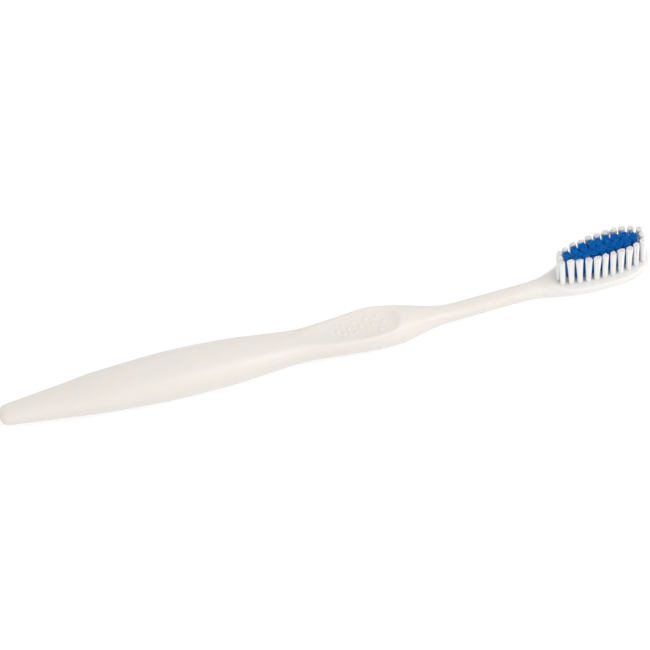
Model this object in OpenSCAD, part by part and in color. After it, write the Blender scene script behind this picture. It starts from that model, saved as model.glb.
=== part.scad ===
// Manual toothbrush. One moulded handle carries a head of bristle tufts.
// Each tuft is folded round a flat metal anchor and driven into a blind hole.
// The brush lies on its back: X runs from butt to tip, Y across, bristles up.

/* [Handle length] */
// Length of the whole brush, from the butt to the tip of the head
overall_length = 190; // [186:1:196]
// Distance from the butt to the fattest part of the grip
grip_x = 51; // [46:0.5:56]
// Distance from the butt to the waist between grip and thumb rest
waist_x = 87; // [84:0.5:91]
// Distance from the butt to the fullest part of the thumb rest
thumb_x = 107.5; // [105:0.5:110]
// Distance from the butt to the heel, the low point under the thumb rest
heel_x = 116; // [114:0.5:118]
// Distance from the butt to the start of the slim neck
neck_x = 131.5; // [129:0.5:134]
// Length of the slim neck
neck_length = 21; // [18:0.5:22]

/* [Handle sections] */
// Width of the blunt butt end
butt_w = 5.6; // [5.2:0.1:6.6]
// Thickness of the blunt butt end
butt_t = 4.7; // [4.4:0.1:5.6]
// Height of the butt's underside above the table
butt_lift = 2.1; // [1.5:0.1:3]
// Length over which the butt end is rounded
butt_round = 2.4; // [1.6:0.1:3]
// Width of the grip at its fattest
grip_w = 14.2; // [13:0.1:16]
// Thickness of the grip at its fattest
grip_t = 10.7; // [10:0.1:12]
// Width of the waist
waist_w = 9.8; // [9:0.1:11]
// Thickness of the waist
waist_t = 7.5; // [7:0.1:8.5]
// Height of the waist's underside above the table
waist_lift = 1.1; // [0.6:0.1:2]
// Width of the thumb rest
thumb_w = 12.6; // [12:0.1:13.5]
// Thickness of the handle at the thumb rest
thumb_t = 9.8; // [9.4:0.1:10.4]
// Height of the underside below the thumb rest above the table
thumb_lift = 0.3; // [0.2:0.1:0.8]
// Width of the heel
heel_w = 11.2; // [10.6:0.1:11.8]
// Thickness of the heel
heel_t = 8.5; // [8.2:0.1:9]
// Width of the slim neck
neck_w = 5; // [4.6:0.1:5.6]
// Thickness of the slim neck
neck_t = 4.6; // [4.2:0.1:5]
// Height of the neck's underside above the table where the neck starts
neck_lift = 1.5; // [1.2:0.1:2]
// Height of the neck's top above the plane of the bristle face where the neck ends
neck_rise = 0.1; // [0:0.1:0.5]
// Sag of the flare between neck and head, below the line of the bristle face
flare_sag = 0.6; // [0:0.1:0.8]
// Depth of the flats under grip and heel, on which the brush lies
flat_depth = 0.15; // [0.05:0.05:0.3]

/* [Thumb dish] */
// Depth of the dish below the crest of the thumb rest
dish_depth = 2.4; // [2:0.1:2.8]
// Distance from the heel back to the deepest part of the dish
dish_setback = 3.8; // [3.2:0.1:4.4]
// Radius of the dish across the handle
dish_r = 15; // [12:0.5:18]
// Radius of the dish's wall at its head end
dish_wall_r = 7; // [5:0.5:9]
// Length of the level part of the floor, back from the deepest part
dish_level = 14; // [12:0.5:16]
// Radius of the long rise from the level part to the waist
dish_rise_r = 90; // [70:5:110]
// Number of raised dots in the middle row of the dish
dots = 5; // [3:1:5]
// Spacing of the dots along the dish
dot_pitch = 3.4; // [2.6:0.1:3.6]
// Distance of the outer rows of dots from the middle line, at the head end
dot_row = 2.4; // [2:0.1:3]
// Distance from the deepest part of the dish back to the first dot
dot_setback = 1.2; // [0.8:0.1:2]
// Diameter of a dot
dot_d = 1.1; // [0.8:0.1:1.3]
// Height of a dot above the floor
dot_h = 0.25; // [0.2:0.05:0.35]

/* [Head] */
// Width of the head at its widest
head_w = 13.2; // [12.8:0.1:13.8]
// Thickness of the head below the bristle face
head_t = 4.8; // [4.6:0.1:5.2]
// Depth below the bristle face at which the head is widest
head_edge = 1.4; // [1.1:0.1:1.6]
// Distance from the last tuft to the tip of the head
tip_reach = 2.1; // [1.8:0.1:2.7]
// Length of the rounded nose at the tip of the head
nose_length = 11; // [10:0.1:12]
// Distance from the first tuft back to the step behind it
step_reach = 2.4; // [2.3:0.1:3.2]
// Radius of the hollow where the step meets the bristle face
step_r = 1; // [0.6:0.1:1.4]
// Tilt of the bristle face, tip up, in degrees
head_tilt = 6.5; // [5:0.5:8]
// Height of the bristle face above the table, at the middle of the tufts
face_lift = 10.4; // [10:0.1:11]

/* [Tufts] */
// Number of columns of tufts along the head
columns = 11; // [9:2:11]
// Spacing of the columns
column_pitch = 2.4; // [2.3:0.05:2.45]
// Distance of the outer rows from the middle line at their widest
outer_row = 3.6; // [3.6:0.05:3.8]
// Distance of the two inner rows from the middle line
inner_row = 1.1; // [1.05:0.05:1.2]
// Step of each end tuft beyond the last column
end_step = 0.5; // [0.5:0.05:0.9]
// Height of the white tufts above the bristle face
white_height = 11; // [9:0.1:12]
// Height of the blue tufts above the bristle face
blue_height = 11.6; // [10:0.1:12.5]
// Diameter of a tuft at its tip
tuft_tip_d = 2; // [1.8:0.05:2]
// Diameter of a hole in the head
hole_d = 1.5; // [1.45:0.05:1.6]
// Depth of a hole in the head
hole_depth = 2.7; // [2.5:0.1:2.8]

/* [Anchors] */
// Length of an anchor across its hole
anchor_length = 2; // [1.8:0.05:2.1]
// Height of an anchor, the width of the flat wire
anchor_height = 1.5; // [1.2:0.1:1.7]
// Thickness of the flat wire
anchor_t = 0.25; // [0.2:0.01:0.3]
// Turn of each anchor from the length of the brush, in degrees
anchor_turn = 20; // [10:5:30]

/* [Hidden] */
// Clearance of a tuft's root in its hole, on the radius
root_clearance = 0.03;
// Overrun of every cut
cut_over = 0.5;
// Height of a tuft's tight collar above the bristle face
collar_height = 0.2;
// Depth of a strand's foot below the top of its root
strand_sink = 0.3;
// Fold of bristle left under an anchor
fold_t = 0.4;
// Longest step between two cross-sections of the handle
ring_step = 3.4;

// Exponents of the cross-section, of the nose seen from above and of its thinning
section_power = 2.4;
nose_power = 2.05;
thinning_power = 6;
// Points round a section, and sections that round off the butt and the tip
section_points = 36;
butt_rings = 4;
nose_rings = 9;
// Facets of a small round hole or root, where the mesh needs a number
$fn = 24;

// Size of the flat on the butt, as a share of the rounded end
butt_face_share = 0.42;

// How much nearer the middle each dot of the outer rows lies, as a share of the first
dot_fan_share = 0.16;

// Shares of the way between two named sections, and of their change in size
butt_flank_shares = [[0.35, 0.46], [0.57, 0.76]];
grip_flank_shares = [[0.42, 0.2], [0.74, 0.68]];
waist_flank_shares = [[0.54, 0.5]];
neck_flank_shares = [[0.24, 0.28], [0.55, 0.71]];
// The same from neck to full head: along, then width, thickness and sag
head_flank_shares = [
    [0.1, 0.03, 0, 0.2], [0.21, 0.13, 0.1, 0.8], [0.33, 0.34, 0.5, 1],
    [0.46, 0.63, 0.9, 0.5], [0.62, 0.85, 1, 0.1], [0.8, 0.98, 1, 0]
];

// Oval of the outer rows: where it is fullest and how far it would reach each way,
// as shares of half the length of the rows
oval_centre_share = 0.17;
oval_neck_share = 1.4;
oval_tip_share = 1;

// Strands of a tuft: how many stand in each ring, and shares of the tuft's radius
inner_strands = 3;
outer_strands = 7;
inner_ring_share = 0.28;
outer_ring_share = 0.78;
inner_strand_share = 0.35;
outer_strand_share = 0.41;
// Turn of each ring's first strand, so that strands of neighbours don't meet
strand_turn = 90;
// Shares of a tuft's height: where it starts to spread, and how far its crown falls
spread_start_share = 0.3;
crown_fall_share = 0.02;

handle_colour = "#ece6de";
white_colour = "#f6f5f2";
blue_colour = "#0a56a8";
anchor_colour = "#c9a227";

function mix(a, b, share) = a + (b - a) * share;
function two_digits(i) = str(i < 10 ? "0" : "", i);

// Half the length of the field of tufts, up to the middle of its end tufts
half_columns = (columns - 1) / 2;
half_field = half_columns * column_pitch + end_step;

// Places in the head: the middle of the tufts, the height of the face, the nose
head_x = overall_length - (half_field + tip_reach) * cos(head_tilt);
function face_z(x) = face_lift + (x - head_x) * tan(head_tilt);
nose_x = overall_length - nose_length;
neck_end_x = neck_x + neck_length;
head_body_t = 2 * (head_t - head_edge);

// Named sections: distance from the butt, width, height of the underside, thickness
butt = [0, butt_w, butt_lift, butt_t];
grip = [grip_x, grip_w, -flat_depth, grip_t + flat_depth];
waist = [waist_x, waist_w, waist_lift, waist_t];
thumb = [thumb_x, thumb_w, thumb_lift, thumb_t];
heel = [heel_x, heel_w, -flat_depth, heel_t + flat_depth];
neck = [neck_x, neck_w, neck_lift, neck_t];

function between(from, to, share) =
    [mix(from[0], to[0], share[0]), for (k = [1:3]) mix(from[k], to[k], share[1])];
function flank(from, to, shares) = [for (share = shares) between(from, to, share)];

// Sections of the head follow the tilted bristle face
neck_end_depth = neck_t - neck_rise;
function head_section(x, w_share, t_share, sag_share) = [
    x,
    mix(neck_w, head_w, w_share),
    face_z(x) - mix(neck_end_depth, head_t, t_share) - flare_sag * sag_share,
    mix(neck_t, head_body_t, t_share)
];
head_sections = [
    head_section(neck_end_x, 0, 0, 0),
    for (share = head_flank_shares)
        head_section(mix(neck_end_x, nose_x, share[0]), share[1], share[2], share[3]),
    head_section(nose_x, 1, 1, 0),
    head_section(overall_length, 1, 1, 0)
];

sections = concat(
    [butt], flank(butt, grip, butt_flank_shares),
    [grip], flank(grip, waist, grip_flank_shares),
    [waist], flank(waist, thumb, waist_flank_shares),
    [thumb], [heel], flank(heel, neck, neck_flank_shares),
    [neck], head_sections
);
last = len(sections) - 1;

// A smooth curve through one column of the sections that never overshoots them
function rise(k, i) =
    (sections[i + 1][k] - sections[i][k]) / (sections[i + 1][0] - sections[i][0]);
function slope(k, i) =
    i == 0 ? rise(k, 0) :
    i == last ? rise(k, last - 1) :
    let (before = rise(k, i - 1), after = rise(k, i))
    before * after <= 0 ? 0 : 2 * before * after / (before + after);
function curve(k, i, u) =
    let (
        span = sections[i + 1][0] - sections[i][0],
        from = sections[i][k],
        to = sections[i + 1][k]
    )
    mix(from, to, u * u * (3 - 2 * u))
    + span * u * (1 - u) * ((1 - u) * slope(k, i) - u * slope(k, i + 1));

// A ring of points round the handle, given its place, half sizes and middle height
function power_of(value, power) = sign(value) * pow(abs(value), power);
function ring(x, half_w, half_t, middle) = [
    for (i = [0:section_points - 1])
        let (angle = 360 * i / section_points)
        [
            x,
            half_w * power_of(cos(angle), 2 / section_power),
            middle + half_t * power_of(sin(angle), 2 / section_power)
        ]
];
function shaped_ring(i, u, w_share, t_share) =
    let (half_t = curve(3, i, u) / 2)
    ring(
        mix(sections[i][0], sections[i + 1][0], u),
        curve(1, i, u) / 2 * w_share,
        half_t * t_share,
        curve(2, i, u) + half_t
    );

butt_ring_list = [
    for (j = [0:butt_rings])
        let (
            turn = 90 * j / butt_rings,
            size = mix(butt_face_share, 1, sin(turn))
        )
        shaped_ring(0, butt_round * (1 - cos(turn)) / sections[1][0], size, size)
];
body_ring_list = [
    for (i = [0:last - 2])
        let (
            span = sections[i + 1][0] - sections[i][0],
            steps = ceil(span / ring_step)
        )
        for (j = [0:steps - 1])
            if (i > 0 || span * j / steps > butt_round) shaped_ring(i, j / steps, 1, 1)
];
nose_ring_list = [
    for (j = [0:nose_rings - 1])
        let (u = sin(90 * j / nose_rings))
        shaped_ring(last - 1, u,
            pow(1 - pow(u, nose_power), 1 / nose_power), sqrt(1 - pow(u, thinning_power)))
];
rings = concat(butt_ring_list, body_ring_list, nose_ring_list);

// The body is the skin over all the rings, closed by a fan at each end
module handle_body() {
    n = section_points;
    count = len(rings);
    butt_middle = [0, 0, butt_lift + butt_t / 2];
    tip_point = [overall_length, 0, face_z(overall_length) - head_edge];
    points = concat([for (r = rings) each r], [butt_middle, tip_point]);
    faces = concat(
        [for (i = [0:n - 1]) [count * n, i, (i + 1) % n]],
        [
            for (j = [0:count - 2], i = [0:n - 1])
                let (a = j * n + i, b = j * n + (i + 1) % n)
                each [[a, a + n, b], [b, a + n, b + n]]
        ],
        [for (i = [0:n - 1]) [count * n + 1, (count - 1) * n + (i + 1) % n, (count - 1) * n + i]]
    );
    polyhedron(points, faces, convexity = 6);
}

// Puts its children on the bristle face: X to the tip, Z along the bristles
module on_face() {
    translate([head_x, 0, face_lift]) rotate([0, -head_tilt, 0]) children();
}

// Everything above the flat bristle face, with a hollow where it meets the step
module face_cut() {
    step_x = -half_field - step_reach;
    reach = step_reach + 2 * half_field + tip_reach + cut_over;
    on_face() rotate([90, 0, 0]) linear_extrude(head_w + 2 * cut_over, center = true) {
        translate([step_x + step_r, 0]) square([reach - step_r, head_body_t]);
        translate([step_x, step_r]) square([reach, head_body_t]);
        translate([step_x + step_r, step_r]) circle(step_r);
    }
}

// What the full round of grip and heel would reach below the table
module table_cut() {
    depth = flat_depth + cut_over;
    translate([0, -grip_w / 2 - cut_over, -depth]) cube([neck_x, grip_w + 2 * cut_over, depth]);
}

// The axis of the dish: X runs along it to the head, from above the deepest part
module on_dish_axis() {
    translate([heel_x - dish_setback, 0, thumb_lift + thumb_t - dish_depth + dish_r])
        children();
}

// The thumb dish: a long barrel sunk into the crest. Its head end is rounded, and its
// butt end narrows slowly, so that the floor rises to meet the waist
module dish_cut() {
    length = heel_x - dish_setback - waist_x + dish_wall_r;
    on_dish_axis() rotate([0, 90, 0]) rotate_extrude($fn = 96) {
        translate([0, -dish_level]) square([dish_r, dish_level]);
        intersection() {
            translate([dish_r - dish_rise_r, -dish_level]) circle(dish_rise_r, $fn = 192);
            translate([0, -length]) square([dish_r, length - dish_level]);
        }
        square([dish_r - dish_wall_r, dish_wall_r]);
        intersection() {
            translate([dish_r - dish_wall_r, 0]) circle(dish_wall_r);
            square([dish_r, dish_wall_r]);
        }
    }
}

// Low round dots that stand on the floor of the dish in three staggered rows
module dish_dot(along, across) {
    ball_r = (dot_d * dot_d / 4 + dot_h * dot_h) / (2 * dot_h);
    on_dish_axis() rotate([asin(across / dish_r), 0, 0])
        translate([-along, 0, dot_h - ball_r - dish_r]) sphere(ball_r);
}

module dish_dots() {
    for (i = [0:dots - 1]) dish_dot(dot_setback + i * dot_pitch, 0);
    for (i = [0:dots - 2], side = [-1, 1])
        dish_dot(dot_setback + (i + 0.5) * dot_pitch, side * dot_row * (1 - i * dot_fan_share));
}

// Places of the tufts on the bristle face
function oval(share) =
    let (
        reach = share < oval_centre_share ? oval_neck_share : oval_tip_share,
        away = (share - oval_centre_share) / reach
    )
    outer_row * sqrt(1 - away * away);
white_places = concat(
    [[-half_field, 0]],
    [
        for (c = [-half_columns:half_columns], side = [-1, 1])
            [c * column_pitch, side * oval(c / half_columns)]
    ],
    [[half_field, 0]]
);
blue_places = concat(
    [[(1 - half_columns) * column_pitch, 0]],
    [
        for (c = [2 - half_columns:half_columns - 2], side = [-1, 1])
            [c * column_pitch, side * inner_row]
    ],
    [[(half_columns - 1) * column_pitch, 0]]
);
tuft_places = concat(white_places, blue_places);

module at_tuft(place) {
    on_face() translate([place.x, place.y, 0]) children();
}

// A blind hole with the slit that its anchor presses into the walls on its way down
module tuft_hole() {
    translate([0, 0, -hole_depth]) cylinder(d = hole_d, h = hole_depth + cut_over);
    rotate([0, 0, anchor_turn]) translate([-anchor_length / 2, -anchor_t / 2, fold_t - hole_depth])
        cube([anchor_length, anchor_t, hole_depth - fold_t + cut_over]);
}

module handle() {
    color(handle_colour) {
        difference() {
            handle_body();
            face_cut();
            table_cut();
            dish_cut();
            for (place = tuft_places) at_tuft(place) tuft_hole();
        }
        dish_dots();
    }
}

// A flat piece of wire that lies across the fold of its tuft
module anchor() {
    rotate([0, 0, anchor_turn]) translate([-anchor_length / 2, -anchor_t / 2, fold_t - hole_depth])
        cube([anchor_length, anchor_t, anchor_height]);
}

module tuft_anchors() {
    color(anchor_colour) for (place = tuft_places) at_tuft(place) anchor();
}

// One strand: a square rod that leans out and thickens above the collar
module strand(height, ring_share, strand_share) {
    root_r = hole_d / 2 - root_clearance;
    levels = [
        [collar_height - strand_sink, root_r],
        [height * spread_start_share, mix(root_r, tuft_tip_d / 2, spread_start_share / 2)],
        [height, tuft_tip_d / 2]
    ];
    points = [
        for (level = levels)
            let (
                middle = level[1] * ring_share,
                half = level[1] * strand_share / 2,
                fall = level[0] < height ? 0 : height * crown_fall_share
            )
            for (corner = [[-1, -1], [1, -1], [1, 1], [-1, 1]])
                let (out = ring_share + corner.x * strand_share / 2)
                [middle + corner.x * half, corner.y * half, level[0] - fall * out * out]
    ];
    sides = [
        for (j = [0:len(levels) - 2], i = [0:3])
            let (a = 4 * j + i, b = 4 * j + (i + 1) % 4)
            each [[a, a + 4, b], [b, a + 4, b + 4]]
    ];
    top = 4 * (len(levels) - 1);
    polyhedron(points, concat([[0, 1, 2], [0, 2, 3]], sides,
        [[top, top + 2, top + 1], [top, top + 3, top + 2]]));
}

// A tuft: its root fills the hole round the anchor, and its strands spread above
module tuft(height) {
    root_d = hole_d - 2 * root_clearance;
    difference() {
        translate([0, 0, -hole_depth]) cylinder(d = root_d, h = hole_depth + collar_height);
        anchor();
    }
    for (i = [0:inner_strands - 1])
        rotate([0, 0, strand_turn + 360 * i / inner_strands])
            strand(height, inner_ring_share, inner_strand_share);
    for (i = [0:outer_strands - 1])
        rotate([0, 0, strand_turn + 360 * i / outer_strands])
            strand(height, outer_ring_share, outer_strand_share);
}

module white_tuft(i) {
    color(white_colour) at_tuft(white_places[i]) tuft(white_height);
}

module blue_tuft(i) {
    color(blue_colour) at_tuft(blue_places[i]) tuft(blue_height);
}

white_names = [for (i = [1:len(white_places)]) str("white_tuft_", two_digits(i))];
blue_names = [for (i = [1:len(blue_places)]) str("blue_tuft_", two_digits(i))];

// The middle of the brush's length is the origin
module centred() {
    translate([-overall_length / 2, 0, 0]) children();
}

centred() handle();
centred() tuft_anchors();
for (i = [0:len(white_names) - 1])
    centred() white_tuft(i);
for (i = [0:len(blue_names) - 1])
    centred() blue_tuft(i);
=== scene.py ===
import math
import random

import bpy
from mathutils import Matrix, Vector


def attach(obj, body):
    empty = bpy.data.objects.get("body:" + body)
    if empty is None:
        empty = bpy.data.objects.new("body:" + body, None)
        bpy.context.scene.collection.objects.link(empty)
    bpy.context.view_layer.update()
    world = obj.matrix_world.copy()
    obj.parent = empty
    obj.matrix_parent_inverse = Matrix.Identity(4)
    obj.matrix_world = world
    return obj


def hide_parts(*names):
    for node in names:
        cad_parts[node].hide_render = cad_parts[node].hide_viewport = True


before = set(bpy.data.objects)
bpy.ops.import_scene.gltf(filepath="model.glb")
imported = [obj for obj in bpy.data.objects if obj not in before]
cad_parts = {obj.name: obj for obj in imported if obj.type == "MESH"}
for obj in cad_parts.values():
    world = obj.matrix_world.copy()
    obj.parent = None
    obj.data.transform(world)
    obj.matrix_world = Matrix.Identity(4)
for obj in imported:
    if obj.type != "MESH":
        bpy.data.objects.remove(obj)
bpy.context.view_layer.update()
random.seed(4)


# Handle
# One injection moulding of tinted polypropylene: grip, thumb rest, slim neck and head in a
# single shot. Its skin is drawn through cross-sections, then the bristle face, the thumb dish
# and the holes for the tufts are sunk into it, as the mould's cores would leave them.

mm = 0.001
overall_length = 190 * mm

# Named sections: distance from the butt, width, height of the underside, thickness
butt = (0, 5.6 * mm, 2.1 * mm, 4.7 * mm)
grip = (51 * mm, 14.2 * mm, -0.15 * mm, 10.85 * mm)
waist = (87 * mm, 9.8 * mm, 1.1 * mm, 7.5 * mm)
thumb = (107.5 * mm, 12.6 * mm, 0.3 * mm, 9.8 * mm)
heel = (116 * mm, 11.2 * mm, -0.15 * mm, 8.65 * mm)
neck = (131.5 * mm, 5 * mm, 1.5 * mm, 4.6 * mm)
neck_end = 152.5 * mm
neck_rise = 0.1 * mm
flare_sag = 0.6 * mm

# Head: a tilted flat face, an edge that is widest below it, and a long rounded nose
head_w = 13.2 * mm
head_t = 4.8 * mm
head_edge = 1.4 * mm
head_tilt = math.radians(6.5)
face_lift = 10.4 * mm
nose_length = 11 * mm
step_reach = 2.4 * mm
step_r = 1 * mm

# Field of tufts, of which the two end ones stand a little beyond the last columns
columns = 11
column_pitch = 2.4 * mm
end_step = 0.5 * mm
tip_reach = 2.1 * mm
half_columns = (columns - 1) // 2
half_field = half_columns * column_pitch + end_step
head_x = overall_length - (half_field + tip_reach) * math.cos(head_tilt)
nose_x = overall_length - nose_length

# How square the sections are, how the nose closes in width and in thickness, and how fine
# and how eased the skin is
section_power = 2.4
nose_power = 2.05
thinning_power = 6
section_points = 36
ring_step = 1.7 * mm
butt_round = 2.4 * mm
butt_face_share = 0.42
butt_rings = 8
nose_rings = 18


def mix(a, b, share):
    return a + (b - a) * share


def flank(start, end, shares):
    """Sections between two named ones: shares of the way, and of the change in size."""
    return [
        (mix(start[0], end[0], along), *(mix(start[k], end[k], change) for k in (1, 2, 3)))
        for along, change in shares
    ]


def face_height(x):
    return face_lift + (x - head_x) * math.tan(head_tilt)


def head_section(along, width_share, thickness_share, sag_share):
    x = mix(neck_end, nose_x, along)
    depth = mix(neck[3] - neck_rise, head_t, thickness_share)
    return (
        x,
        mix(neck[1], head_w, width_share),
        face_height(x) - depth - flare_sag * sag_share,
        mix(neck[3], 2 * (head_t - head_edge), thickness_share),
    )


# Shares of the way from neck to nose, and there of the width, the thickness and the sag
head_flank = [
    (0, 0, 0, 0), (0.1, 0.03, 0, 0.2), (0.21, 0.13, 0.1, 0.8), (0.33, 0.34, 0.5, 1),
    (0.46, 0.63, 0.9, 0.5), (0.62, 0.85, 1, 0.1), (0.8, 0.98, 1, 0), (1, 1, 1, 0),
]
tip_share = (overall_length - neck_end) / (nose_x - neck_end)
sections = [
    butt, *flank(butt, grip, [(0.35, 0.46), (0.57, 0.76)]),
    grip, *flank(grip, waist, [(0.42, 0.2), (0.74, 0.68)]),
    waist, *flank(waist, thumb, [(0.54, 0.5)]),
    thumb, heel, *flank(heel, neck, [(0.24, 0.28), (0.55, 0.71)]),
    neck, *(head_section(*share) for share in head_flank),
    head_section(tip_share, 1, 1, 0),
]
last = len(sections) - 1


def slope(k, i):
    """Slope of one column at a section, flat where the column turns, so it never overshoots."""
    pairs = zip(sections[max(i - 1, 0):i + 1], sections[max(i, 1):i + 2])
    rises = [(after[k] - before[k]) / (after[0] - before[0]) for before, after in pairs]
    if len(rises) == 1:
        return rises[0]
    if rises[0] * rises[1] <= 0:
        return 0
    return 2 * rises[0] * rises[1] / (rises[0] + rises[1])


def curve(k, i, u):
    """A column's value at the share u of the way from section i to the next."""
    span = sections[i + 1][0] - sections[i][0]
    eased = mix(sections[i][k], sections[i + 1][k], u * u * (3 - 2 * u))
    return eased + span * u * (1 - u) * ((1 - u) * slope(k, i) - u * slope(k, i + 1))


def ring(i, u, width_share=1, thickness_share=1):
    """Place, half width, half thickness and middle height of one ring of the skin."""
    x = mix(sections[i][0], sections[i + 1][0], u) - overall_length / 2
    half_t = curve(3, i, u) / 2
    return x, curve(1, i, u) / 2 * width_share, half_t * thickness_share, curve(2, i, u) + half_t


rings = []
for j in range(butt_rings + 1):
    turn = math.pi / 2 * j / butt_rings
    size = mix(butt_face_share, 1, math.sin(turn))
    rings.append(ring(0, butt_round * (1 - math.cos(turn)) / sections[1][0], size, size))
for i in range(last - 1):
    span = sections[i + 1][0] - sections[i][0]
    steps = math.ceil(span / ring_step)
    for j in range(steps):
        if i > 0 or span * j / steps > butt_round:
            rings.append(ring(i, j / steps))
for j in range(nose_rings):
    u = math.sin(math.pi / 2 * j / nose_rings)
    width_share = (1 - u ** nose_power) ** (1 / nose_power)
    rings.append(ring(last - 1, u, width_share, math.sqrt(1 - u ** thinning_power)))


def start_piece(name):
    """Names the primitive that was just added and puts its place into its mesh."""
    piece = bpy.context.active_object
    piece.name = name
    piece.data.name = name
    bpy.ops.object.transform_apply(location=True, rotation=True, scale=True)
    return piece


def pick(*pieces):
    """Selects these pieces alone, and makes the first of them active."""
    bpy.ops.object.select_all(action="DESELECT")
    for piece in pieces:
        piece.select_set(True)
    bpy.context.view_layer.objects.active = pieces[0]


def finish_with(piece, kind, **settings):
    """Adds one modifier to a piece and applies it."""
    pick(piece)
    modifier = piece.modifiers.new(kind.title(), kind)
    for name, value in settings.items():
        setattr(modifier, name, value)
    bpy.ops.object.modifier_apply(modifier=modifier.name)


def pick_edges(piece, wanted):
    """Opens a piece for editing with only the edges selected whose two ends are wanted."""
    pick(piece)
    bpy.ops.object.mode_set(mode="EDIT")
    bpy.ops.mesh.select_mode(type="EDGE")
    bpy.ops.mesh.select_all(action="DESELECT")
    bpy.ops.object.mode_set(mode="OBJECT")
    for edge in piece.data.edges:
        edge.select = all(wanted(piece.data.vertices[v].co) for v in edge.vertices)
    bpy.ops.object.mode_set(mode="EDIT")


def carve(piece, tool, operation="DIFFERENCE"):
    """Cuts a tool out of a piece, or welds it on, and throws the tool away."""
    finish_with(piece, "BOOLEAN", object=tool, operation=operation, solver="EXACT")
    bpy.data.objects.remove(tool)


def power_of(value, power):
    return math.copysign(abs(value) ** power, value)


bpy.ops.object.select_all(action="DESELECT")
bpy.ops.mesh.primitive_circle_add(
    vertices=section_points, radius=1, fill_type="NGON", rotation=(math.pi / 2, 0, math.pi / 2)
)
handle = start_piece("brush_handle")
first_x, first_w, first_t, first_middle = rings[0]
for vertex in handle.data.vertices:
    squared = [power_of(value, 2 / section_power) for value in vertex.co]
    vertex.co = (first_x, first_w * squared[1], first_middle + first_t * squared[2])
bpy.ops.object.mode_set(mode="EDIT")
bpy.ops.mesh.select_all(action="SELECT")
for before, after in zip(rings, rings[1:]):
    move = (after[0] - before[0], 0, after[3] - before[3])
    bpy.ops.mesh.extrude_region_move(TRANSFORM_OT_translate={"value": move})
    bpy.ops.transform.resize(
        value=(1, after[1] / before[1], after[2] / before[2]),
        center_override=(after[0], 0, after[3]),
    )
bpy.ops.mesh.select_all(action="SELECT")
bpy.ops.mesh.normals_make_consistent(inside=False)
bpy.ops.object.mode_set(mode="OBJECT")
finish_with(handle, "SUBSURF", levels=1, render_levels=1)

# The flats under grip and heel, on which the brush lies
weld_gap = 0.0001 * mm
bpy.ops.object.mode_set(mode="EDIT")
bpy.ops.mesh.select_all(action="SELECT")
bpy.ops.mesh.bisect(
    plane_co=(0, 0, 0),
    plane_no=(0, 0, 1),
    use_fill=True,
    clear_inner=True,
    threshold=weld_gap,
)
bpy.ops.object.mode_set(mode="OBJECT")

# The bristle face, cut flat by a block whose rounded edge leaves a hollow at the step
on_face = (
    Matrix.Translation((head_x - overall_length / 2, 0, face_lift))
    @ Matrix.Rotation(-head_tilt, 4, "Y")
)
block_height = 10 * mm
block_width = 20 * mm
block_overrun = 10 * mm
block_start = -half_field - step_reach
block_length = step_reach + 2 * half_field + block_overrun
bpy.ops.mesh.primitive_cube_add(
    size=1,
    location=(block_start + block_length / 2, 0, block_height / 2),
    scale=(block_length, block_width, block_height),
)
block = start_piece("face_block")
pick_edges(block, lambda end: end.x < block_start + step_r and end.z < step_r)
bpy.ops.mesh.bevel(offset=step_r, segments=8)
bpy.ops.object.mode_set(mode="OBJECT")
block.data.transform(on_face)
carve(handle, block)

# The thumb dish, cut by a long barrel that is rounded at the head end and narrows slowly at
# the butt end, so that the floor rises to meet the waist
dish_depth = 2.4 * mm
dish_setback = 3.8 * mm
dish_r = 15 * mm
dish_wall_r = 7 * mm
dish_level = 14 * mm
dish_rise_r = 90 * mm
rise_step = 1.2 * mm
facing_butt = -0.9
barrel_length = heel[0] - dish_setback - waist[0] + dish_wall_r
on_dish_axis = Matrix.Translation((
    heel[0] - dish_setback - overall_length / 2, 0, thumb[2] + thumb[3] - dish_depth + dish_r
))
bpy.ops.mesh.primitive_cylinder_add(
    vertices=128,
    radius=dish_r,
    depth=dish_level + dish_wall_r,
    location=((dish_wall_r - dish_level) / 2, 0, 0),
    rotation=(0, math.pi / 2, 0),
)
barrel = start_piece("dish_barrel")
pick(barrel)
bpy.ops.object.mode_set(mode="EDIT")
bpy.ops.mesh.select_mode(type="FACE")
bpy.ops.mesh.select_all(action="DESELECT")
bpy.ops.object.mode_set(mode="OBJECT")
for face in barrel.data.polygons:
    face.select = face.normal.x < facing_butt
bpy.ops.object.mode_set(mode="EDIT")
radius = dish_r
for step in range(1, math.ceil((barrel_length - dish_level) / rise_step) + 1):
    rise = dish_rise_r - math.sqrt(dish_rise_r ** 2 - (step * rise_step) ** 2)
    bpy.ops.mesh.extrude_region_move(TRANSFORM_OT_translate={"value": (-rise_step, 0, 0)})
    narrowing = (dish_r - rise) / radius
    bpy.ops.transform.resize(
        value=(1, narrowing, narrowing), center_override=(-dish_level - step * rise_step, 0, 0)
    )
    radius = dish_r - rise
bpy.ops.object.mode_set(mode="OBJECT")
pick_edges(barrel, lambda end: end.x > dish_wall_r / 2)
bpy.ops.mesh.bevel(offset=dish_wall_r, segments=16)
bpy.ops.object.mode_set(mode="OBJECT")
barrel.data.transform(on_dish_axis)
carve(handle, barrel)

# A fine even mesh whose rims are eased, as a polished mould rounds every edge a little
skin_voxel = 0.285 * mm
finish_with(handle, "REMESH", mode="VOXEL", voxel_size=skin_voxel)
finish_with(handle, "SMOOTH", factor=0.5, iterations=9)

# Low dots on the floor of the dish, in three staggered rows, each with an eased foot
dots = 5
dot_pitch = 3.4 * mm
dot_row = 2.4 * mm
dot_setback = 1.2 * mm
dot_fan_share = 0.16
dot_h = 0.25 * mm
dot_foot = -0.08 * mm
dot_r = 0.78 * mm
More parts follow.
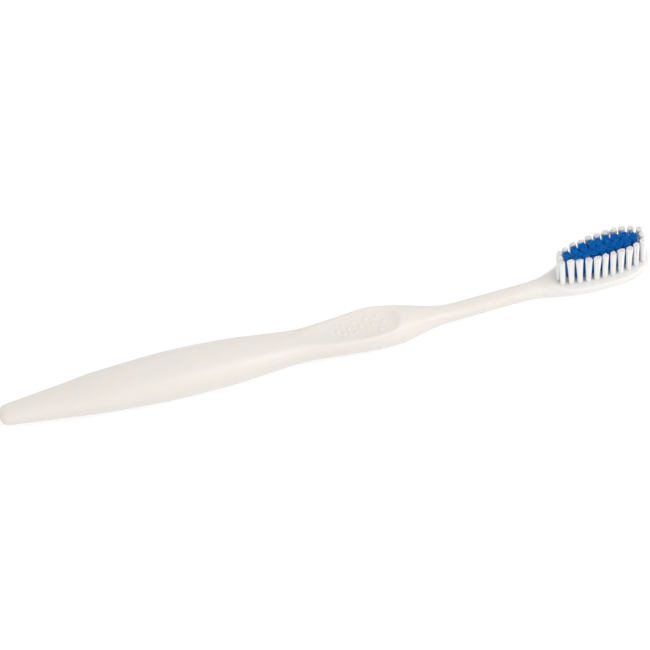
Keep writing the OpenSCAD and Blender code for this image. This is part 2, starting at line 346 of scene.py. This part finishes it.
# Radius of each level of a dot in mm, and the share of the height at which it lies
dot_levels = [(0.62, 0.35), (0.46, 0.72), (0.26, 0.93)]
bpy.ops.mesh.primitive_circle_add(vertices=16, radius=dot_r, fill_type="NGON")
dot = start_piece("dish_dot")
dot.data.transform(Matrix.Translation((0, 0, dot_foot)))
bpy.ops.object.mode_set(mode="EDIT")
bpy.ops.mesh.select_all(action="SELECT")
radius, height = dot_r, dot_foot
for level_r, height_share in dot_levels:
    next_radius, next_height = level_r * mm, height_share * dot_h
    bpy.ops.mesh.extrude_region_move(
        TRANSFORM_OT_translate={"value": (0, 0, next_height - height)}
    )
    bpy.ops.transform.resize(
        value=(next_radius / radius, next_radius / radius, 1),
        center_override=(0, 0, next_height),
    )
    radius, height = next_radius, next_height
bpy.ops.mesh.select_all(action="SELECT")
bpy.ops.mesh.normals_make_consistent(inside=False)
bpy.ops.object.mode_set(mode="OBJECT")
finish_with(dot, "SUBSURF", levels=1, render_levels=1)
dot_places = [(dot_setback + i * dot_pitch, 0) for i in range(dots)]
for i in range(dots - 1):
    across = dot_row * (1 - i * dot_fan_share)
    dot_places += [(dot_setback + (i + 0.5) * dot_pitch, side * across) for side in (-1, 1)]
copies = []
for along, across in dot_places:
    copy = dot.copy()
    copy.data = dot.data.copy()
    bpy.context.collection.objects.link(copy)
    copy.data.transform(
        on_dish_axis
        @ Matrix.Rotation(math.asin(across / dish_r), 4, "X")
        @ Matrix.Translation((-along, 0, -dish_r))
    )
    copies.append(copy)
bpy.data.objects.remove(dot)
pick(*copies)
bpy.ops.object.join()
carve(handle, copies[0], "UNION")

# Forty blind holes that grip their tufts all round, each with the slit that its anchor has
# pressed into the plastic, which has closed again above the anchor
hole_d = 1.3 * mm
hole_depth = 2.7 * mm
anchor_length = 2 * mm
anchor_height = 1.5 * mm
anchor_t = 0.25 * mm
anchor_turn = math.radians(20)
fold_t = 0.4 * mm
outer_row = 3.6 * mm
inner_row = 1.1 * mm
cut_over = 0.5 * mm
crease = math.radians(35)


def oval(share):
    """Distance of the outer rows from the middle line, by the share of half their length."""
    centre, neck_side, tip_side = 0.17, 1.4, 1
    away = (share - centre) / (neck_side if share < centre else tip_side)
    return outer_row * math.sqrt(1 - away * away)


white_places = [(-half_field, 0)]
for c in range(-half_columns, half_columns + 1):
    across = oval(c / half_columns)
    white_places += [(c * column_pitch, -across), (c * column_pitch, across)]
white_places.append((half_field, 0))
blue_places = [((1 - half_columns) * column_pitch, 0)]
for c in range(2 - half_columns, half_columns - 1):
    blue_places += [(c * column_pitch, -inner_row), (c * column_pitch, inner_row)]
blue_places.append(((half_columns - 1) * column_pitch, 0))

bpy.ops.mesh.primitive_cylinder_add(
    vertices=24,
    radius=hole_d / 2,
    depth=hole_depth + cut_over,
    location=(0, 0, (cut_over - hole_depth) / 2),
)
drill = start_piece("hole_drill")
bpy.ops.mesh.primitive_cube_add(
    size=1,
    location=(0, 0, fold_t - hole_depth + anchor_height / 2),
    rotation=(0, 0, anchor_turn),
    scale=(anchor_length, anchor_t, anchor_height),
)
slit = start_piece("anchor_slit")
carve(drill, slit, "UNION")
copies = []
for along, across in white_places + blue_places:
    copy = drill.copy()
    copy.data = drill.data.copy()
    bpy.context.collection.objects.link(copy)
    copy.data.transform(on_face @ Matrix.Translation((along, across, 0)))
    copies.append(copy)
bpy.data.objects.remove(drill)
pick(*copies)
bpy.ops.object.join()
carve(handle, copies[0])
pick(handle)
bpy.ops.object.shade_smooth_by_angle(angle=crease)


def colour(code):
    """A shader colour from an sRGB hex code."""
    channels = [int(code[i:i + 2], 16) / 255 for i in (1, 3, 5)]
    linear = [c / 12.92 if c <= 0.04045 else ((c + 0.055) / 1.055) ** 2.4 for c in channels]
    return (*linear, 1)


def start_material(name, **values):
    """A material with one Principled shader, whose uniform values sit on its own sockets."""
    material = bpy.data.materials.new(name)
    material.use_nodes = True
    shader = material.node_tree.nodes["Principled BSDF"]
    for socket, value in values.items():
        shader.inputs[socket.replace("_", " ")].default_value = value
    return material, shader


def add(material, kind, settings, sockets):
    """Adds a node with its settings. A socket is given a value, or another node's output."""
    node = material.node_tree.nodes.new("ShaderNode" + kind)
    for name, value in settings.items():
        setattr(node, name, value)
    for socket, value in sockets.items():
        if isinstance(value, bpy.types.NodeSocket):
            material.node_tree.links.new(value, node.inputs[socket])
        else:
            node.inputs[socket].default_value = value
    return node


# Moulded polypropylene, natural with a little cream pigment: light goes some way into it,
# so its shadows are soft. Its colour is painted cooler and lighter from the neck to the head,
# as painted light that stands in for light shining through the thin head. The flow of the melt
# clouds it a little. Its satin grain is drawn coarser than the real one, so that it shows.
neck_tone_x = 52 * mm
head_tone_x = 74 * mm
cloud_size = 14 * mm
cloud_share = 0.03
rub_size = 5 * mm
glossiest, dullest = 0.28, 0.42
grain_size = 0.35 * mm
grain_depth = 0.02 * mm
grain_share = 0.06
plastic, shader = start_material(
    "moulded_polypropylene",
    IOR=1.49,
    Subsurface_Weight=0.5,
    Subsurface_Scale=1 * mm,
    Subsurface_Radius=(1.0, 0.8, 0.6),
)
place = add(plastic, "TexCoord", {}, {})
along = add(plastic, "SeparateXYZ", {}, {0: place.outputs["Object"]})
# Painted light: the cream tint turns cooler and lighter towards the head, for light shining through
# it
to_head = add(
    plastic, "MapRange", {"interpolation_type": "SMOOTHSTEP"},
    {0: along.outputs["X"], 1: neck_tone_x, 2: head_tone_x},
)
tint_and_painted_light = add(
    plastic, "MixRGB", {},
    {0: to_head.outputs[0], 1: colour("#e8e2dc"), 2: colour("#edebe8")},
)
flow = add(
    plastic, "TexNoise", {},
    {"Vector": place.outputs["Object"], "Scale": 1 / cloud_size, "Detail": 2.0},
)
clouded = add(
    plastic, "MixRGB", {"blend_type": "MULTIPLY"},
    {0: cloud_share, 1: tint_and_painted_light.outputs[0], 2: flow.outputs[0]},
)
plastic.node_tree.links.new(clouded.outputs[0], shader.inputs["Base Color"])
rub = add(
    plastic, "TexNoise", {},
    {"Vector": place.outputs["Object"], "Scale": 1 / rub_size, "Detail": 3.0},
)
gloss = add(plastic, "MapRange", {}, {0: rub.outputs[0], 3: glossiest, 4: dullest})
plastic.node_tree.links.new(gloss.outputs[0], shader.inputs["Roughness"])
grain = add(
    plastic, "TexNoise", {},
    {"Vector": place.outputs["Object"], "Scale": 1 / grain_size, "Detail": 2.0},
)
satin = add(
    plastic, "Bump", {},
    {"Height": grain.outputs[0], "Strength": grain_share, "Distance": grain_depth},
)
plastic.node_tree.links.new(satin.outputs[0], shader.inputs["Normal"])
handle.data.materials.clear()
handle.data.materials.append(plastic)
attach(handle, "root")
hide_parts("handle")


# Tuft anchors
# Forty short lengths of flat brass wire, one across the fold of each tuft. Each is chopped
# from the coil as it is driven in, so it keeps the fine lines of rolling along its length.

# Brass strip, rolled and sheared: a warm gloss with fine lines along it
line_width = 0.05 * mm
line_stretch = 0.08
line_depth = 0.01 * mm
line_share = 0.3
brass, shader = start_material("rolled_brass", Metallic=1.0, Roughness=0.28)
place = add(brass, "TexCoord", {}, {})
stretched = add(
    brass, "Mapping", {},
    {
        "Vector": place.outputs["Object"],
        "Rotation": (0, 0, -anchor_turn),
        "Scale": (line_stretch, 1, 1),
    },
)
lines = add(
    brass, "TexNoise", {},
    {"Vector": stretched.outputs[0], "Scale": 1 / line_width, "Detail": 3.0},
)
tone = add(
    brass, "MixRGB", {},
    {0: lines.outputs[0], 1: colour("#b98f45"), 2: colour("#d9b46a")},
)
brass.node_tree.links.new(tone.outputs[0], shader.inputs["Base Color"])
rolled = add(
    brass, "Bump", {},
    {"Height": lines.outputs[0], "Strength": line_share, "Distance": line_depth},
)
brass.node_tree.links.new(rolled.outputs[0], shader.inputs["Normal"])
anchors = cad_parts["tuft_anchors"]
anchors.data.materials.clear()
anchors.data.materials.append(brass)


# White tufts
# Bundles of clear nylon filament that are folded into the holes round the edge of the head,
# then trimmed level and rounded at the tips. One filament is modelled, and every strand of
# every tuft is a copy of it that leans out a little from its root to its tip.

strand_d = 0.21 * mm
strand_foot = -1 * mm
white_height = 11.1 * mm
root_reach = 0.66 * mm
tip_reach_out = 0.9 * mm
crown_fall = 0.08 * mm
golden_turn = math.pi * (3 - math.sqrt(5))

# How far the strands stray in mm, at the tip and in height, and how they bow outwards
tip_scatter = 0.05
height_scatter = 0.07
bow_power = 1.3

# Shares of a strand's height at which it has a ring, and of its width there. The first lies
# inside the hole, and the last three round its tip.
strand_levels = [
    (-0.085, 1), (0.3, 1), (0.6, 1), (0.84, 1), (0.985, 0.96), (0.996, 0.74), (1, 0.38),
]

bpy.ops.object.select_all(action="DESELECT")
bpy.ops.mesh.primitive_circle_add(
    vertices=6, radius=strand_d / 2, fill_type="NGON", location=(0, 0, strand_foot)
)
filament = start_piece("nylon_filament")
bpy.ops.object.mode_set(mode="EDIT")
bpy.ops.mesh.select_all(action="SELECT")
height, size = strand_foot, 1
for share, next_size in strand_levels:
    next_height = white_height * share
    bpy.ops.mesh.extrude_region_move(
        TRANSFORM_OT_translate={"value": (0, 0, next_height - height)}
    )
    bpy.ops.transform.resize(
        value=(next_size / size, next_size / size, 1), center_override=(0, 0, next_height)
    )
    height, size = next_height, next_size
bpy.ops.mesh.select_all(action="SELECT")
bpy.ops.mesh.normals_make_consistent(inside=False)
bpy.ops.object.mode_set(mode="OBJECT")
bpy.ops.object.shade_smooth()
filament.data.attributes.new("tone", "FLOAT", "POINT")


def plant_tuft(name, place, height, strand_count, spread, lean, press_power=2):
    """A tuft of leaning copies of the filament, set in its hole on the bristle face. Its end is
    an oval, or squarer with a higher power where its neighbours press against it."""
    strands = []
    first_turn = random.uniform(0, 2 * math.pi)
    for k in range(strand_count):
        out = math.sqrt((k + 0.5) / strand_count)
        turn = first_turn + k * golden_turn
        root = Vector((math.cos(turn), math.sin(turn))) * root_reach * out
        bulge = abs(math.cos(turn)) ** press_power + abs(math.sin(turn)) ** press_power
        tip = Vector((math.cos(turn) * spread[0], math.sin(turn) * spread[1]))
        tip *= tip_reach_out * out / bulge ** (1 / press_power)
        stray = Vector((random.gauss(0, tip_scatter), random.gauss(0, tip_scatter))) * mm
        tip += Vector(lean) + stray
        top = height - crown_fall * out * out - abs(random.gauss(0, height_scatter)) * mm
        strand = filament.copy()
        strand.data = filament.data.copy()
        bpy.context.collection.objects.link(strand)
        for vertex in strand.data.vertices:
            share = max(vertex.co.z, 0) / white_height
            offset = mix(root, tip, share ** bow_power)
            vertex.co.x += offset.x
            vertex.co.y += offset.y
            vertex.co.z += (top - white_height) * share
        tones = strand.data.attributes["tone"].data
        tones.foreach_set("value", [random.random()] * len(strand.data.vertices))
        strands.append(strand)
    pick(*strands)
    bpy.ops.object.join()
    tuft = strands[0]
    tuft.name = name
    tuft.data.name = name
    tuft.data.transform(on_face @ Matrix.Translation((*place, 0)))
    return tuft


def tint_strands(nylon, shader, darkest, lightest):
    """Gives each strand its own tone between two colours."""
    tone = add(nylon, "Attribute", {"attribute_name": "tone"}, {})
    mixed = add(
        nylon, "MixRGB", {},
        {0: tone.outputs["Fac"], 1: colour(darkest), 2: colour(lightest)},
    )
    nylon.node_tree.links.new(mixed.outputs[0], shader.inputs["Base Color"])


# Drawn nylon without a dye: white in a bundle, with a soft gloss along each strand
white_nylon, shader = start_material("clear_white_nylon", IOR=1.53, Roughness=0.3)
tint_strands(white_nylon, shader, "#f8f7f5", "#fbfbfa")

# The two end tufts lean in a little. Both rows are as they have settled: how far each tuft
# has spread along its row and across it, how far it leans to the tip, and how far to the back
white_strands = 72
end_spread = (0.8, 0.9)
end_lean = 0.4 * mm
front_row = [
    (0.85, 0.8, -0.15, 0.3), (1.25, 0.65, -0.1, 0.6), (1.2, 0.65, -0.05, 0.35),
    (1.1, 0.9, 0.1, 0.15), (1.25, 0.75, 0.25, 0.05), (0.95, 0.9, 0.15, 0.1),
    (0.9, 0.9, 0.1, 0.1), (1.2, 0.8, 0.1, 0.2), (1.1, 0.8, 0.2, -0.15), (0.95, 0.8, -0.05, 0),
    (0.8, 0.8, -0.45, -0.1),
]
back_row = [
    (0.9, 0.9, 0.25, -0.4), (0.95, 0.9, -0.35, -0.35), (1.15, 0.9, -0.25, 0.15),
    (1.15, 0.9, -0.1, 0), (1.15, 0.9, -0.1, 0.35), (1.05, 0.9, 0.1, 0.3), (1.3, 0.9, 0.2, 0.35),
    (1.1, 0.9, 0.25, 0.5), (1.15, 0.9, 0.25, 0.45), (1.05, 0.9, 0.15, 0.3), (0.95, 0.9, 0, -0.05),
]
for i, place in enumerate(white_places):
    number = f"{i + 1:02d}"
    if place[1] == 0:
        spread = end_spread
        lean = (math.copysign(end_lean, -place[0]), 0)
    else:
        row = front_row if place[1] < 0 else back_row
        *spread, tip_lean, back_lean = row[(i - 1) // 2]
        lean = (tip_lean * mm, back_lean * mm)
    tuft = plant_tuft(
        "white_bristles_" + number, place, white_height, white_strands, spread, lean
    )
    tuft.data.materials.append(white_nylon)
    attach(tuft, "root")
    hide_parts("white_tuft_" + number)


# Blue tufts
# The same filament in nylon that is dyed through. These sixteen bundles fill the middle of
# the head and are trimmed a little longer than the white ones round them.

blue_height = 11.55 * mm
blue_strands = 110
blue_press = 2.6
blue_scatter = 0.03

# Nylon with the dye in the melt: an even deep blue with little gloss, as light goes into it
blue_nylon, shader = start_material(
    "dyed_blue_nylon",
    IOR=1.53,
    Roughness=0.34,
    Specular_IOR_Level=0.2,
    Subsurface_Weight=0.15,
    Subsurface_Scale=0.3 * mm,
    Subsurface_Radius=(0.3, 0.6, 1.0),
)
tint_strands(blue_nylon, shader, "#0172c4", "#0482da")

# The front row keeps to one form, and the back row and the two ends have settled in clumps:
# spread along the row and across it, lean to the tip, and lean to the back
front_clump = (1.45, 1.5, -0.2, 0.3)
back_clumps = [
    (1.12, 1.4, -0.3, 0), (1.4, 1.4, -0.25, 0.15), (1.15, 1.4, 0.05, 0.35), (1.12, 1.4, -0.3, 0.25),
    (1.25, 1.4, -0.45, 0.35), (1.45, 1.4, -0.25, 0), (1.3, 1.4, -0.05, -0.1),
]
neck_clump = (1.1, 1.3, -0.4, 0.15)
tip_clump = (1.25, 1.3, -0.05, 0)
for i, place in enumerate(blue_places):
    number = f"{i + 1:02d}"
    if place[1] > 0:
        *spread, tip_lean, back_lean = back_clumps[i // 2 - 1]
    elif place[1] < 0:
        *spread, tip_lean, back_lean = front_clump
    else:
        *spread, tip_lean, back_lean = neck_clump if place[0] < 0 else tip_clump
    lean = (
        random.gauss(tip_lean, blue_scatter) * mm,
        random.gauss(back_lean, blue_scatter) * mm,
    )
    tuft = plant_tuft(
        "blue_bristles_" + number, place, blue_height, blue_strands, spread, lean, blue_press
    )
    tuft.data.materials.append(blue_nylon)
    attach(tuft, "root")
    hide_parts("blue_tuft_" + number)
bpy.data.objects.remove(filament)


# Studio
# A white floor that runs out of sight into a white backdrop, a broad soft box low in front,
# a key box to the right of the camera, on the head's side, and even light from all round.

floor_size = 6
floor_gap = 0.02 * mm
floor_glow = 0.72
floor_lit = 0.34
air_light = 0.79


def add_seen(owner):
    """An output that is 1 where the camera sees something straight, in a gloss or through
    clear material, and 0 where it only lights other things."""
    rays = add(owner, "LightPath", {}, {})
    seen = add(
        owner, "Math", {"operation": "MAXIMUM"},
        {0: rays.outputs["Is Camera Ray"], 1: rays.outputs["Is Glossy Ray"]},
    )
    seen = add(
        owner, "Math", {"operation": "MAXIMUM"},
        {0: seen.outputs[0], 1: rays.outputs["Is Transmission Ray"]},
    )
    return seen.outputs[0]


bpy.ops.object.select_all(action="DESELECT")
bpy.ops.mesh.primitive_plane_add(size=floor_size, location=(0, 0, -floor_gap))
floor = start_piece("studio_floor")
paper, shader = start_material("matt_white_paper", Roughness=0.9)
shader.inputs["Base Color"].default_value = colour("#fafafa")
glow = add(paper, "Emission", {}, {"Strength": floor_glow})
lit = add(paper, "BsdfDiffuse", {}, {"Color": (floor_lit, floor_lit, floor_lit, 1)})
shown = add(paper, "AddShader", {}, {0: glow.outputs[0], 1: lit.outputs[0]})
either = add(
    paper, "MixShader", {},
    {0: add_seen(paper), 1: shader.outputs[0], 2: shown.outputs[0]},
)
paper.node_tree.links.new(
    either.outputs[0], paper.node_tree.nodes["Material Output"].inputs["Surface"]
)
floor.data.materials.append(paper)

world = bpy.data.worlds.new("studio_air")
bpy.context.scene.world = world
world.use_nodes = True
air = world.node_tree.nodes["Background"]
air.inputs["Color"].default_value = (1, 1, 1, 1)
strength = add(world, "MapRange", {}, {0: add_seen(world), 3: air_light, 4: 1.0})
world.node_tree.links.new(strength.outputs[0], air.inputs["Strength"])

# Name, place and width in metres, and power in watts
for name, place, size, power in [
    ("front_soft_box", (0.1, -1.1, 0.4), 1.0, 1.1),
    ("key_soft_box", (0.49, -0.4, 0.98), 0.6, 4.15),
]:
    lamp = bpy.data.lights.new(name, "AREA")
    lamp.size = size
    lamp.energy = power
    box = bpy.data.objects.new(name, lamp)
    box.location = place
    box.rotation_euler = (-Vector(place)).to_track_quat("-Z", "Y").to_euler()
    bpy.context.collection.objects.link(box)


# Camera
# It stands where the photograph was taken from: well above the brush and a little to the
# butt's side, with the lens turned slightly so that the head rises to the right.

azimuth = math.radians(-20.894)
elevation = math.radians(58.238)
roll = math.radians(4.91)
aim = Vector((1.802, 8.691, -1.992)) * mm
distance = 960 * mm
focal_length = 187.129
film_width = 36
turned = (
    Matrix.Rotation(azimuth, 4, "Z")
    @ Matrix.Rotation(math.pi / 2 - elevation, 4, "X")
    @ Matrix.Rotation(roll, 4, "Z")
)
lens = bpy.data.cameras.new("studio_camera")
lens.lens = focal_length
lens.sensor_width = film_width
lens.clip_start = 10 * mm
camera = bpy.data.objects.new("studio_camera", lens)
bpy.context.collection.objects.link(camera)
camera.matrix_world = Matrix.Translation(aim + turned.col[2].to_3d() * distance) @ turned
bpy.context.scene.camera = camera
bpy.context.scene.view_settings.view_transform = "Standard"
